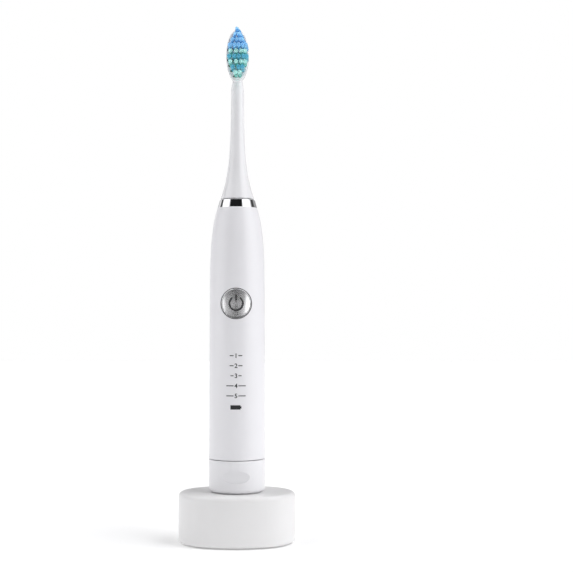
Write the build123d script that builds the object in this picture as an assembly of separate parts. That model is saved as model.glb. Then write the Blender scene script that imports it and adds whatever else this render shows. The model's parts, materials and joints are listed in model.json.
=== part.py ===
"""Sonic toothbrush standing on its oval inductive charger, as an assembly of separate pieces.

The frame is in millimetres: +Z up, -Y to the front (button and bristles), origin on the floor under
the handle's axis. The charger's hollow peg enters a blind pocket in the handle's end cap, where the
pickup coil takes its charge. Above the cap are the battery and board, then the sonic motor, whose
shaft leaves through the chrome collar and carries the pull-off brush head.
"""

import math
import os

from build123d import *

# ---- charger: oval case, deck, peg ----
BASE_WIDTH = 58.0
BASE_DEPTH = 45.6
BASE_HEIGHT = 25.1  # floor to deck
BASE_END_RADIUS = 21.4  # plan radius of the two ends
BASE_WALL = 2.0
DECK_THICKNESS = 2.0
BASE_TOP_ROUND = 2.2
BASE_BOTTOM_ROUND = 1.4
LANDING_RADIUS = 11.5  # raised disc that the handle stands on
LANDING_HEIGHT = 0.4
PEG_RADIUS = 4.6
PEG_HEIGHT = 10.0
PEG_WALL = 1.1
PEG_CLEARANCE = 0.4  # all round the peg in its pocket
PEG_HEADROOM = 0.6  # over the peg in its pocket
COVER_THICKNESS = 2.0
FOOT_RADIUS = 3.5
FOOT_THICKNESS = 1.6
FOOT_PROUD = 0.7
FOOT_FROM_END = 13.5
FOOT_FROM_SIDE = 13.0
BASE_SCREW_FROM_END = 8.0
BASE_SCREW_LENGTH = 8.0
BOSS_RADIUS = 3.0
BOSS_ROOF = 2.0  # solid above the screw's hole
BASE_BOARD_LIFT = 2.8  # standoff height over the cover
BASE_BOARD_LENGTH = 32.0
BASE_BOARD_WIDTH = 24.0
BASE_BOARD_THICKNESS = 1.6
BASE_BOARD_CORNER = 1.5
STANDOFF_RADIUS = 1.5
STANDOFF_FROM_EDGE = 3.0
PRIMARY_COIL_RADIUS = 9.0
PRIMARY_HEADROOM = 0.6  # spool's top to the deck's underside
SPOOL_WALL = 0.9
SPOOL_FLANGE = 1.0
FLANGE_OVER_COIL = 0.6
GLAND_Z = 11.0
GLAND_RADIUS = 3.4
GLAND_SUNK = 0.1  # below the case's rearmost point
GLAND_SEAT = 0.6  # flange behind the wall's inner face
GLAND_FLANGE_THICKNESS = 1.5
GLAND_FLANGE = 1.3  # flange radius beyond the gland's body
CORD_HOLE_RADIUS = 1.75

# ---- handle: end cap, housing, collar ----
HANDLE_RADIUS = 14.0  # at the cap
WAIST_TAPER = 0.35  # radius lost between the cap and the start of the shoulder
NECK_RADIUS = 9.9  # top of the housing, foot of the collar
CAP_HEIGHT = 16.0
CAP_FLOOR = 2.0
POCKET_TUBE_WALL = 1.0
SPIGOT_REACH = 5.2  # cap's spigot above the seam
CAP_RIM = 3.0  # full wall below the seam
HOUSING_LENGTH = 124.8
SHOULDER_LENGTH = 38.3
SHOULDER_SLOPE = 0.33  # radius per length where the shoulder meets the collar
SHOULDER_FULL = 0.42  # share of its length over which the shoulder keeps the waist's width
SHOULDER_PULL = 0.235  # share of its length over which it runs straight into the collar
HANDLE_WALL = 2.0
TOP_WALL = 3.0  # housing's top, round the collar's spigot
SEAM_GAP = 0.3
SEAM_ROUND = 0.35
CAP_ROUND = 1.6
COLLAR_HEIGHT = 4.1
COLLAR_TOP_RADIUS = 8.6
COLLAR_BORE = 6.2
COLLAR_WALL = 1.0  # wall of its spigot
THUMB_WIDTH = 13.4  # oval thumb recess in the cap
THUMB_HEIGHT = 6.0
THUMB_DEPTH = 0.9
ORING_SECTION = 0.7
ORING_GROOVE = 1.8  # height of its groove
SPIGOT_CLEARANCE = 0.25
SPIGOT_WALL = 2.4

# ---- button and printed panel ----
BUTTON_DROP = 48.0  # collar down to the button's centre
BEZEL_RADIUS = 7.7
BEZEL_WIDTH = 0.8
BEZEL_PROUD = 0.15
BUTTON_TRAVEL = 0.35
BUTTON_SINK = 3.0  # waist surface down to the pocket floor
BUTTON_BELOW = 0.05  # button's face below the waist's surface
MARK_RADIUS = 3.3  # power mark: middle of its ring
MARK_STROKE = 0.9
MARK_DEPTH = 0.25
MARK_GAP = 40.0  # degrees each side of the top
MARK_BAR_LOW = 1.5
MARK_BAR_HIGH = 4.4
WEB_THICKNESS = 1.0
MEMBRANE_THICKNESS = 0.4
STEM_RADIUS = 2.2
STEM_CLEARANCE = 0.4
POCKET_WALL = 1.5
WINDOW_THICKNESS = 1.1  # thinned wall over the lamps
SHROUD_HALF_WIDTH = 3.1
SWITCH_SIZE = 4.5
SWITCH_HEIGHT = 2.0
PLUNGER_RADIUS = 1.0
PLUNGER_PROUD = 0.6
PLUNGER_BURIED = 0.7
MODE_COUNT = 5
MODE_PITCH = 4.9
FIRST_MODE_DROP = 25.5  # button's centre down to the first mode lamp
GAUGE_DROP = 50.7  # button's centre down to the charge lamp
LAMP_WIDTH = 1.6
LAMP_HEIGHT = 1.0
LAMP_THICKNESS = 0.7
WELL_HALF_WIDTH = 2.2  # light well round each lamp
WELL_HALF_HEIGHT = 1.5

# ---- board, frame, battery ----
BOARD_THICKNESS = 1.0
BOARD_SIDE_GAP = 0.6
BOARD_CORNER = 1.2
BOARD_PAST_WINDOW = 3.0
BOARD_STANDOFF = 0.9
BOARD_ABOVE_FRAME = 5.0  # frame's foot to the board's foot
SPINE_THICKNESS = 1.4
FRAME_GAP = 0.3
FRAME_END = 1.5
TAB_THICKNESS = 0.25
TAB_REACH = 2.0  # strip past the cell's middle
TAB_HALF_WIDTH = 2.5
ANCHOR_BASE = 2.0  # frame below the torsion bar's foot
ANCHOR_GRIP = 3.0  # length of the bar that the frame holds
ANCHOR_HALF_WIDTH = 3.0
MOTOR_SEAT = 2.0  # thickness of the frame's motor seat
CELL_HEADROOM = 2.4  # over the cell, for its strip and lead
CELL_SIDE_GAP = 1.2
CELL_ROUND = 0.5
CELL_SHOULDER = 1.0  # cell's button over its shoulder
POST_RADIUS = 1.1
WIRE_RADIUS = 0.45
WIRE_BEND = 1.0
COIL_LEAD_X = 2.6

# ---- motor ----
MOTOR_DROP = 7.3  # collar down to the motor's front face
MOTOR_LENGTH = 28.0
MOTOR_WALL = 0.8
SHAFT_RADIUS = 1.9
SHAFT_TAIL = 0.6  # shaft below the motor's rear face
SHAFT_FLAT = 0.72  # drive flat's distance from the axis, as a share of the radius
SHAFT_FLAT_LENGTH = 12.0
SHAFT_REACH = 21.5  # shaft length above the brush head's foot
GROOVE_DEPTH = 0.3  # snap groove
GROOVE_WIDTH = 1.2
GROOVE_LIFT = 5.0  # brush head's foot up to the groove
TORSION_BAR_RADIUS = 0.9
TORSION_BAR_LENGTH = 19.0
SWING_GAP = 0.5  # magnets to the stator's teeth
MAGNET_THICKNESS = 1.5
MAGNET_GAP = 0.5  # between neighbouring magnets
SLEEVE_WALL = 0.7
STATOR_WALL = 1.1
TOOTH_WIDTH = 2.4
COIL_WIDTH = 4.8
COIL_OVERHANG = 1.6  # winding past the laminations at each end
COIL_ROUND = 1.0
BUSH_WALL = 1.5
BUSH_FLANGE = 0.8
BUSH_LENGTH = 2.4
POLES = 4

# ---- brush head ----
HEAD_GAP = 0.3
HEAD_FOOT_RADIUS = 8.5
HEAD_FOOT_WALL = 1.3
HEAD_FOOT_ROUND = 0.35
MOUTH_DEPTH = 9.3  # hollow foot, up to where the sleeve is gripped
SOCKET_WALL = 1.1
SOCKET_LIFT = 1.0  # sleeve's lower end above the foot
SOCKET_END = 1.4  # sleeve past the shaft's end
SOCKET_FLANGE = 1.7
SOCKET_FLANGE_HEIGHT = 1.1
SOCKET_SLOT = 0.8
CLIP_THICKNESS = 0.37
CLIP_HEIGHT = 3.0
CLIP_OPENING = 2.8
CLIP_FIT = 0.03
STEM_TOP_RADIUS = 3.2
STEM_LENGTH = 55.3
PLATE_HALF_WIDTH = 5.65
PLATE_HALF_LENGTH = 13.2
PLATE_FRONT = 2.9  # axis forward to the bristle face
PLATE_BACK = 2.1
PLATE_FACE_ROUND = 0.5
PLATE_OVERLAP = 3.6  # how far the plate's ellipse runs down the stem
TUFT_RADIUS = 0.8
TUFT_LENGTH = 10.4
TIP_TUFT_LENGTH = 11.4
TUFT_HOLE = 2.4
TUFT_PITCH = 2.65
ANCHOR_THICKNESS = 0.3

# ---- fits ----
SLIDE_FIT = 0.15  # plastic into plastic
RUN_FIT = 0.05  # shaft in its bushes
GLUE_FIT = 0.1  # glued or pushed in by hand
PAST = 1.0  # how far a cutting shape runs past a face
SCREW_RADIUS = 1.0
SCREW_HEAD_RADIUS = 2.0
SCREW_HEAD_HEIGHT = 1.3

# ---- levels along the axis ----
DECK_Z = BASE_HEIGHT
CAP_Z = DECK_Z + LANDING_HEIGHT
SEAM_Z = CAP_Z + CAP_HEIGHT
COLLAR_Z = SEAM_Z + HOUSING_LENGTH
COLLAR_TOP_Z = COLLAR_Z + COLLAR_HEIGHT
HEAD_Z = COLLAR_TOP_Z + HEAD_GAP
STEM_TOP_Z = HEAD_Z + STEM_LENGTH
PLATE_Z = STEM_TOP_Z + PLATE_HALF_LENGTH + PLATE_OVERLAP - 0.1
BUTTON_Z = COLLAR_Z - BUTTON_DROP
MOTOR_TOP_Z = COLLAR_Z - MOTOR_DROP
MOTOR_Z = MOTOR_TOP_Z - MOTOR_LENGTH
GROOVE_Z = HEAD_Z + GROOVE_LIFT
CEILING_Z = COLLAR_Z - TOP_WALL

# ---- radii and depths that follow ----
WAIST_RADIUS = HANDLE_RADIUS - WAIST_TAPER
INNER_RADIUS = WAIST_RADIUS - HANDLE_WALL
FRAME_RADIUS = INNER_RADIUS - FRAME_GAP
POCKET_FLOOR = -(WAIST_RADIUS - BUTTON_SINK)
WEB_BACK = POCKET_FLOOR + WEB_THICKNESS
PLUNGER_FRONT = WEB_BACK - 2 * GLUE_FIT
SWITCH_FRONT = PLUNGER_FRONT + PLUNGER_PROUD
BOARD_FRONT = SWITCH_FRONT + SWITCH_HEIGHT
BOARD_BACK = BOARD_FRONT + BOARD_THICKNESS
SPINE_FRONT = BOARD_BACK + BOARD_STANDOFF
SPINE_BACK = SPINE_FRONT + SPINE_THICKNESS
BOARD_HALF_WIDTH = math.sqrt(FRAME_RADIUS**2 - BOARD_FRONT**2) - BOARD_SIDE_GAP
PEG_POCKET_RADIUS = PEG_RADIUS + PEG_CLEARANCE
POCKET_TUBE_RADIUS = PEG_POCKET_RADIUS + POCKET_TUBE_WALL
COLLAR_SPIGOT_RADIUS = COLLAR_BORE + COLLAR_WALL

FRAME_Z = SEAM_Z + SPIGOT_REACH
SHAFT_LOW_Z = MOTOR_Z - SHAFT_TAIL
TORSION_Z = SHAFT_LOW_Z - TORSION_BAR_LENGTH
ANCHOR_BLOCK_Z = TORSION_Z - ANCHOR_BASE
BATTERY_Z = FRAME_Z + FRAME_END + TAB_THICKNESS + GLUE_FIT
BATTERY_TOP_Z = ANCHOR_BLOCK_Z - FRAME_END - CELL_HEADROOM
BATTERY_RADIUS = (FRAME_RADIUS - SPINE_BACK - SLIDE_FIT - CELL_SIDE_GAP) / 2
BATTERY_Y = SPINE_BACK + SLIDE_FIT + BATTERY_RADIUS


# ---- shared shapes ----
def rod(radius, low, high, x=0.0, y=0.0):
    """Upright cylinder between two levels."""
    lift = (Align.CENTER, Align.CENTER, Align.MIN)
    return Pos(x, y, low) * Cylinder(radius, high - low, align=lift)


def tube(outer, inner, low, high, x=0.0, y=0.0):
    """Upright tube between two levels."""
    return rod(outer, low, high, x, y) - rod(inner, low, high, x, y)


def rod_y(radius, front, back, x=0.0, z=0.0):
    """Cylinder lying along Y from front to back."""
    lie = Rot(-90, 0, 0) * Cylinder(radius, back - front, align=(Align.CENTER, Align.CENTER, Align.MIN))
    return Pos(x, front, z) * lie


def block(x0, x1, y0, y1, z0, z1):
    """Box between two corners."""
    return Pos((x0 + x1) / 2, (y0 + y1) / 2, (z0 + z1) / 2) * Box(x1 - x0, y1 - y0, z1 - z0)


def turned(points):
    """Solid of revolution about Z of a closed outline of (radius, level) points."""
    outline = Polyline(*[(r, 0, z) for r, z in points], close=True)
    return revolve(make_face(outline), Axis.Z)


def oval(inset=0.0):
    """Charger's plan: four tangent arcs, drawn in by inset."""
    half_width = BASE_WIDTH / 2 - inset
    half_depth = BASE_DEPTH / 2 - inset
    end = BASE_END_RADIUS - inset
    shift = half_width - end
    side = (shift**2 + half_depth**2 - end**2) / (2 * (half_depth - end))
    turn = math.degrees(math.atan2(side - half_depth, shift))
    arcs = [
        CenterArc((shift, 0), end, -turn, 2 * turn),
        CenterArc((0, half_depth - side), side, turn, 180 - 2 * turn),
        CenterArc((-shift, 0), end, 180 - turn, 2 * turn),
        CenterArc((0, side - half_depth), side, 180 + turn, 180 - 2 * turn),
    ]
    return make_face(arcs)


def oval_slab(inset, low, high):
    """Upright slab of the charger's plan."""
    return Pos(0, 0, low) * extrude(oval(inset), high - low)


def level_edges(shape, z):
    """Edges that lie wholly on one level."""
    return shape.edges().filter_by(lambda e: abs(e.bounding_box().min.Z - z) < 1e-4
                                   and abs(e.bounding_box().max.Z - z) < 1e-4)


def screw(x, y, head_low, length):
    """Pan-head screw pointing up, with a cross recess under its head."""
    head = rod(SCREW_HEAD_RADIUS, head_low, head_low + SCREW_HEAD_HEIGHT, x, y)
    shank = rod(SCREW_RADIUS, head_low + SCREW_HEAD_HEIGHT, head_low + SCREW_HEAD_HEIGHT + length, x, y)
    arm = SCREW_HEAD_RADIUS * 0.6
    slot = SCREW_HEAD_RADIUS * 0.14
    depth = SCREW_HEAD_HEIGHT * 0.5
    body = head + shank
    body -= block(x - arm, x + arm, y - slot, y + slot, head_low, head_low + depth)
    body -= block(x - slot, x + slot, y - arm, y + arm, head_low, head_low + depth)
    return body


def wire(points, radius):
    """Round wire along straight runs joined by tangent arcs."""
    path = FilletPolyline(*points, radius=radius)
    return sweep(Plane(path @ 0, z_dir=path % 0) * Circle(WIRE_RADIUS), path)


# ---- charger ----
COVER_Z = FOOT_PROUD
COVER_TOP_Z = COVER_Z + COVER_THICKNESS
CEILING_BASE_Z = DECK_Z - DECK_THICKNESS
BASE_BOARD_Z = COVER_TOP_Z + BASE_BOARD_LIFT
BASE_BOARD_TOP_Z = BASE_BOARD_Z + BASE_BOARD_THICKNESS
FOOT_X = BASE_WIDTH / 2 - FOOT_FROM_END
FOOT_Y = BASE_DEPTH / 2 - FOOT_FROM_SIDE
BASE_SCREW_X = BASE_WIDTH / 2 - BASE_SCREW_FROM_END
PEG_TOP_Z = CAP_Z + PEG_HEIGHT
FERRITE_RADIUS = PEG_RADIUS - PEG_WALL - SLIDE_FIT
PRIMARY_TOP_Z = CEILING_BASE_Z - PRIMARY_HEADROOM
GLAND_FACE_Y = BASE_DEPTH / 2 - GLAND_SUNK
GLAND_SHOULDER_Y = BASE_DEPTH / 2 - BASE_WALL - GLAND_SEAT
GLAND_BACK_Y = GLAND_SHOULDER_Y - GLAND_FLANGE_THICKNESS


def base_shell():
    """Oval case with deck, landing, hollow peg, screw bosses and the gland's hole."""
    shell = oval_slab(0, COVER_Z, DECK_Z)
    shell = fillet(level_edges(shell, DECK_Z), BASE_TOP_ROUND)
    shell = fillet(level_edges(shell, COVER_Z), min(BASE_BOTTOM_ROUND, BASE_WALL * 0.7))
    landing = rod(LANDING_RADIUS, DECK_Z - PAST, CAP_Z)
    landing = fillet(level_edges(landing, CAP_Z), LANDING_HEIGHT * 0.3)
    peg = rod(PEG_RADIUS, DECK_Z - PAST, PEG_TOP_Z)
    peg = fillet(level_edges(peg, PEG_TOP_Z), PEG_WALL * 0.8)
    cavity = oval_slab(BASE_WALL, COVER_Z, CEILING_BASE_Z)
    shell = shell + landing + peg - cavity
    shell -= rod(PEG_RADIUS - PEG_WALL, CEILING_BASE_Z - PAST, PEG_TOP_Z - PEG_WALL)
    for side in (-1, 1):
        x = side * BASE_SCREW_X
        shell += rod(BOSS_RADIUS, COVER_TOP_Z, CEILING_BASE_Z + DECK_THICKNESS / 4, x)
        shell -= rod(SCREW_RADIUS + RUN_FIT, COVER_TOP_Z, CEILING_BASE_Z - BOSS_ROOF, x)
    return shell - rod_y(GLAND_RADIUS + GLUE_FIT, BASE_DEPTH / 2 - 2 * BASE_WALL, BASE_DEPTH, 0, GLAND_Z)


def base_cover():
    """Flat floor plate with screw seats, foot recesses and board standoffs."""
    plate = oval_slab(BASE_WALL + SLIDE_FIT, COVER_Z, COVER_TOP_Z)
    for side in (-1, 1):
        screw_x = side * BASE_SCREW_X
        plate -= rod(SCREW_HEAD_RADIUS + SLIDE_FIT, COVER_Z, COVER_Z + SCREW_HEAD_HEIGHT, screw_x)
        plate -= rod(SCREW_RADIUS + SLIDE_FIT, COVER_Z, COVER_TOP_Z, screw_x)
        for end in (-1, 1):
            plate -= rod(FOOT_RADIUS + GLUE_FIT, COVER_Z, FOOT_THICKNESS, side * FOOT_X, end * FOOT_Y)
            x, y = BASE_BOARD_LENGTH / 2 - STANDOFF_FROM_EDGE, BASE_BOARD_WIDTH / 2 - STANDOFF_FROM_EDGE
            plate += rod(STANDOFF_RADIUS, COVER_TOP_Z - GLUE_FIT, BASE_BOARD_Z, side * x, end * y)
    return plate


def rubber_feet():
    """Four non-slip pads, glued into the cover."""
    pads = []
    for side in (-1, 1):
        for end in (-1, 1):
            pad = rod(FOOT_RADIUS, 0, FOOT_THICKNESS, side * FOOT_X, end * FOOT_Y)
            pads.append(fillet(level_edges(pad, 0), FOOT_PROUD * 0.4))
    return Compound(children=pads)


def base_screws():
    """Two self-tapping screws through the cover."""
    return Compound(children=[screw(s * BASE_SCREW_X, 0, COVER_Z, BASE_SCREW_LENGTH) for s in (-1, 1)])


def base_board():
    """Driver board on the cover's standoffs."""
    half_x, half_y = BASE_BOARD_LENGTH / 2, BASE_BOARD_WIDTH / 2
    board = block(-half_x, half_x, -half_y, half_y, BASE_BOARD_Z, BASE_BOARD_TOP_Z)
    return fillet(board.edges().filter_by(Axis.Z), BASE_BOARD_CORNER)


def base_board_parts():
    """Capacitor, film block, driver chip and choke on the driver board."""
    top = BASE_BOARD_TOP_Z
    can_radius, can_height, can_round = 2.8, 6.5, 0.5
    film_half_x, film_half_y, film_height = 2.4, 3.0, 5.0
    chip_half_x, chip_half_y, chip_height = 2.6, 2.2, 1.5
    choke_radius, choke_height = 2.6, 3.2
    x = BASE_BOARD_LENGTH / 2 - can_radius - 0.6
    y = BASE_BOARD_WIDTH / 2 - film_half_y - 1.0
    can = rod(can_radius, top, top + can_height, x, y)
    can = fillet(level_edges(can, top + can_height), can_round)
    film = block(x - film_half_x, x + film_half_x, -y - film_half_y, -y + film_half_y, top, top + film_height)
    chip = block(-x - chip_half_x, -x + chip_half_x, y - chip_half_y, y + chip_half_y, top, top + chip_height)
    choke = rod(choke_radius, top, top + choke_height, -x, -y)
    return Compound(children=[can, film, chip, choke])


def primary_bobbin():
    """Spool that holds the driving coil round the ferrite."""
    bore = FERRITE_RADIUS + SLIDE_FIT
    flange = PRIMARY_COIL_RADIUS + FLANGE_OVER_COIL
    low = BASE_BOARD_TOP_Z
    spool = tube(bore + SPOOL_WALL, bore, low, PRIMARY_TOP_Z)
    spool += tube(flange, bore, low, low + SPOOL_FLANGE)
    return spool + tube(flange, bore, PRIMARY_TOP_Z - SPOOL_FLANGE, PRIMARY_TOP_Z)


def primary_coil():
    """Driving winding between the spool's flanges."""
    bore = FERRITE_RADIUS + SLIDE_FIT + SPOOL_WALL + RUN_FIT
    inset = SPOOL_FLANGE + RUN_FIT
    return tube(PRIMARY_COIL_RADIUS, bore, BASE_BOARD_TOP_Z + inset, PRIMARY_TOP_Z - inset)


def ferrite_core():
    """Ferrite rod from the board up into the peg."""
    return rod(FERRITE_RADIUS, BASE_BOARD_TOP_Z + GLUE_FIT, PEG_TOP_Z - PEG_WALL - 2 * GLUE_FIT)


def cord_gland():
    """Rubber bush in the rear wall, with the lead's hole through it."""
    body = rod_y(GLAND_RADIUS, GLAND_BACK_Y, GLAND_FACE_Y, 0, GLAND_Z)
    body += rod_y(GLAND_RADIUS + GLAND_FLANGE, GLAND_BACK_Y, GLAND_SHOULDER_Y, 0, GLAND_Z)
    return body - rod_y(CORD_HOLE_RADIUS, GLAND_BACK_Y, GLAND_FACE_Y, 0, GLAND_Z)


# ---- handle shells ----
def handle_form(inset):
    """Housing's outer form drawn in by inset: a slight taper, then the rounded shoulder."""
    seam = HANDLE_RADIUS - inset
    waist = WAIST_RADIUS - inset
    neck = NECK_RADIUS - inset
    shoulder_z = COLLAR_Z - SHOULDER_LENGTH
    pull = SHOULDER_LENGTH * SHOULDER_PULL
    low, high = (0, 0, SEAM_Z), (0, 0, COLLAR_Z)
    outline = [
        Line(low, (seam, 0, SEAM_Z)),
        Line((seam, 0, SEAM_Z), (waist, 0, shoulder_z)),
        Bezier(
            (waist, 0, shoulder_z),
            (waist, 0, shoulder_z + SHOULDER_LENGTH * SHOULDER_FULL),
            (neck + SHOULDER_SLOPE * pull, 0, COLLAR_Z - pull),
            (neck, 0, COLLAR_Z),
        ),
        Line((neck, 0, COLLAR_Z), high),
        Line(high, low),
    ]
    return revolve(make_face(outline), Axis.Z)


def handle_housing():
    """One-piece handle tube with the button's pocket and the thinned lamp window."""
    form = handle_form(0) - rod(HANDLE_RADIUS + PAST, SEAM_Z - PAST, SEAM_Z + SEAM_GAP / 2)
    form = fillet(level_edges(form, SEAM_Z + SEAM_GAP / 2), SEAM_ROUND)
    cavity = handle_form(HANDLE_WALL) & rod(HANDLE_RADIUS, SEAM_Z, CEILING_Z)
    pad = rod_y(BEZEL_RADIUS + POCKET_WALL, -HANDLE_RADIUS, WEB_BACK, 0, BUTTON_Z)
    housing = form - (cavity - pad)
    housing -= rod(COLLAR_SPIGOT_RADIUS + GLUE_FIT, CEILING_Z - PAST, COLLAR_Z)
    housing -= rod_y(BEZEL_RADIUS + RUN_FIT, -2 * HANDLE_RADIUS, POCKET_FLOOR, 0, BUTTON_Z)
    housing -= rod_y(STEM_RADIUS + STEM_CLEARANCE, POCKET_FLOOR - PAST, WEB_BACK + PAST, 0, BUTTON_Z)
    half, window_front = SHROUD_HALF_WIDTH + 2 * SLIDE_FIT, -(WAIST_RADIUS - WINDOW_THICKNESS)
    return housing - block(-half, half, window_front, -INNER_RADIUS + 3 * PAST, LAMP_LOW_Z, LAMP_HIGH_Z)


SPIGOT_RADIUS = HANDLE_RADIUS - HANDLE_WALL - SPIGOT_CLEARANCE
SPIGOT_TOP_Z = SEAM_Z + SPIGOT_REACH
ORING_CENTRE = HANDLE_RADIUS - HANDLE_WALL - RUN_FIT - ORING_SECTION
ORING_Z = SEAM_Z + SPIGOT_REACH / 2


def thumb_recess():
    """Oval prism in front of a broad cylinder: the recess is deepest at its middle and runs out sideways."""
    half = THUMB_WIDTH / 2
    drop = HANDLE_RADIUS - math.sqrt(HANDLE_RADIUS**2 - half**2) - THUMB_DEPTH
    floor_radius = (half**2 + drop**2) / (2 * drop)
    middle = CAP_Z + CAP_HEIGHT / 2
    plan = Pos(0, -HANDLE_RADIUS - PAST, middle) * Rot(90, 0, 0) * Ellipse(half * 1.02, THUMB_HEIGHT / 2)
    prism = extrude(plan, HANDLE_RADIUS, dir=(0, 1, 0))
    return prism - rod(floor_radius, CAP_Z, SEAM_Z, 0, THUMB_DEPTH - HANDLE_RADIUS + floor_radius)


def bottom_cap():
    """End cap with peg pocket, spigot, O-ring groove and oval thumb recess."""
    cap = rod(HANDLE_RADIUS, CAP_Z, SEAM_Z - SEAM_GAP / 2)
    cap = fillet(level_edges(cap, CAP_Z), min(CAP_ROUND, CAP_FLOOR * 0.9))
    cap = fillet(level_edges(cap, SEAM_Z - SEAM_GAP / 2), SEAM_ROUND)
    cap += rod(SPIGOT_RADIUS, CAP_Z + CAP_FLOOR, SPIGOT_TOP_Z)
    cap -= rod(HANDLE_RADIUS - HANDLE_WALL, CAP_Z + CAP_FLOOR, SEAM_Z - CAP_RIM)
    cap -= rod(SPIGOT_RADIUS - SPIGOT_WALL, SEAM_Z - CAP_RIM - PAST, SPIGOT_TOP_Z + PAST)
    groove_low, groove_high = ORING_Z - ORING_GROOVE / 2, ORING_Z + ORING_GROOVE / 2
    cap -= tube(SPIGOT_RADIUS + PAST, ORING_CENTRE - ORING_SECTION - RUN_FIT, groove_low, groove_high)
    pocket_top = PEG_TOP_Z + PEG_HEADROOM
    cap += rod(POCKET_TUBE_RADIUS, CAP_Z + PAST, pocket_top + POCKET_TUBE_WALL)
    cap -= rod(PEG_POCKET_RADIUS, CAP_Z - PAST, pocket_top)
    return cap - thumb_recess()


def cap_oring():
    """O-ring between the cap's spigot and the housing."""
    return Pos(0, 0, ORING_Z) * Torus(ORING_CENTRE, ORING_SECTION)


def collar_ring():
    """Chrome cone between housing and brush head, with its spigot."""
    spigot = COLLAR_SPIGOT_RADIUS
    shoulder = 0.35
    return turned([
        (COLLAR_BORE, CEILING_Z), (spigot, CEILING_Z), (spigot, COLLAR_Z), (NECK_RADIUS, COLLAR_Z),
        (COLLAR_TOP_RADIUS + shoulder * 0.7, COLLAR_TOP_Z - shoulder),
        (COLLAR_TOP_RADIUS - shoulder * 0.6, COLLAR_TOP_Z),
        (COLLAR_BORE, COLLAR_TOP_Z),
    ])


def shaft_seal():
    """Rubber bellows that closes the collar round the shaft."""
    rim, lip = COLLAR_BORE - 0.1, SHAFT_RADIUS + RUN_FIT
    low, top = CEILING_Z + 0.5, COLLAR_TOP_Z - 0.5
    mid = (rim + lip) / 2
    return turned([
        (lip, low + 1.2), (mid - 0.6, low + 1.2), (mid, low + 3.2), (rim - 1.2, low), (rim, low),
        (rim, top - 1.0), (rim - 1.1, top - 1.0), (rim - 1.1, low + 2.6), (mid + 0.1, top - 1.6),
        (mid - 0.9, low + 3.4), (lip + 0.9, top), (lip, top),
    ])


# ---- button and switch ----
BUTTON_RADIUS = BEZEL_RADIUS - BEZEL_WIDTH - SLIDE_FIT
MEMBRANE_FRONT = POCKET_FLOOR - MEMBRANE_THICKNESS
BUTTON_BACK = MEMBRANE_FRONT - BUTTON_TRAVEL - GLUE_FIT
BUTTON_FACE_RADIUS = WAIST_RADIUS - BUTTON_BELOW  # the face's own curve


def waist_skin(proud):
    """Cylinder that follows the handle's face at the button, raised by proud."""
    return rod(WAIST_RADIUS + proud, BUTTON_Z - 2 * BEZEL_RADIUS, BUTTON_Z + 2 * BEZEL_RADIUS)


def button_bezel():
    """Bright ring round the button, shaped to the handle's curve."""
    front = -2 * HANDLE_RADIUS
    ring = rod_y(BEZEL_RADIUS, front, POCKET_FLOOR, 0, BUTTON_Z)
    ring -= rod_y(BEZEL_RADIUS - BEZEL_WIDTH, front, POCKET_FLOOR, 0, BUTTON_Z)
    return ring & waist_skin(BEZEL_PROUD)


def power_mark():
    """Standby mark as a prism along Y: an open ring and a bar, both with round ends."""
    front, back, half = -2 * HANDLE_RADIUS, BUTTON_BACK, MARK_STROKE / 2
    turn = math.radians(MARK_GAP)
    across, up = 2 * BUTTON_RADIUS * math.sin(turn), 2 * BUTTON_RADIUS * math.cos(turn)
    wedge = Polyline((0, 0), (-across, up), (across, up), close=True)
    plane = Plane(origin=(0, front, BUTTON_Z), x_dir=(1, 0, 0), z_dir=(0, -1, 0))
    gap = extrude(plane * make_face(wedge), back - front, dir=(0, 1, 0))
    mark = rod_y(MARK_RADIUS + half, front, back, 0, BUTTON_Z)
    mark -= rod_y(MARK_RADIUS - half, front, back, 0, BUTTON_Z)
    mark -= gap
    x, z = MARK_RADIUS * math.sin(turn), BUTTON_Z + MARK_RADIUS * math.cos(turn)
    low, high = BUTTON_Z + MARK_BAR_LOW + half, BUTTON_Z + MARK_BAR_HIGH - half
    mark += block(-half, half, front, back, low, high)
    for end_x, end_z in ((-x, z), (x, z), (0, low), (0, high)):
        mark += rod_y(half, front, back, end_x, end_z)
    return mark


def power_button():
    """Metal button face with its engraved mark and the stem that reaches the switch."""
    cap = rod_y(BUTTON_RADIUS, -2 * HANDLE_RADIUS, BUTTON_BACK, 0, BUTTON_Z) & waist_skin(-BUTTON_BELOW)
    floor = rod(BUTTON_FACE_RADIUS - MARK_DEPTH, BUTTON_Z - BEZEL_RADIUS, BUTTON_Z + BEZEL_RADIUS)
    cap -= power_mark() - floor
    return cap + rod_y(STEM_RADIUS, BUTTON_BACK - GLUE_FIT, PLUNGER_FRONT, 0, BUTTON_Z)


def button_membrane():
    """Silicone seal on the pocket floor, round the stem."""
    ring = rod_y(BUTTON_RADIUS, MEMBRANE_FRONT, POCKET_FLOOR, 0, BUTTON_Z)
    return ring - rod_y(STEM_RADIUS + GLUE_FIT, MEMBRANE_FRONT, POCKET_FLOOR, 0, BUTTON_Z)


def tact_switch():
    """Switch body on the board."""
    half = SWITCH_SIZE / 2
    body = block(-half, half, SWITCH_FRONT, BOARD_FRONT, BUTTON_Z - half, BUTTON_Z + half)
    bore = PLUNGER_BURIED + BUTTON_TRAVEL + SLIDE_FIT
    return body - rod_y(PLUNGER_RADIUS + RUN_FIT, SWITCH_FRONT, SWITCH_FRONT + bore, 0, BUTTON_Z)


def switch_plunger():
    """Plunger that the stem drives into the switch."""
    return rod_y(PLUNGER_RADIUS, PLUNGER_FRONT, SWITCH_FRONT + PLUNGER_BURIED, 0, BUTTON_Z)


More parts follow.
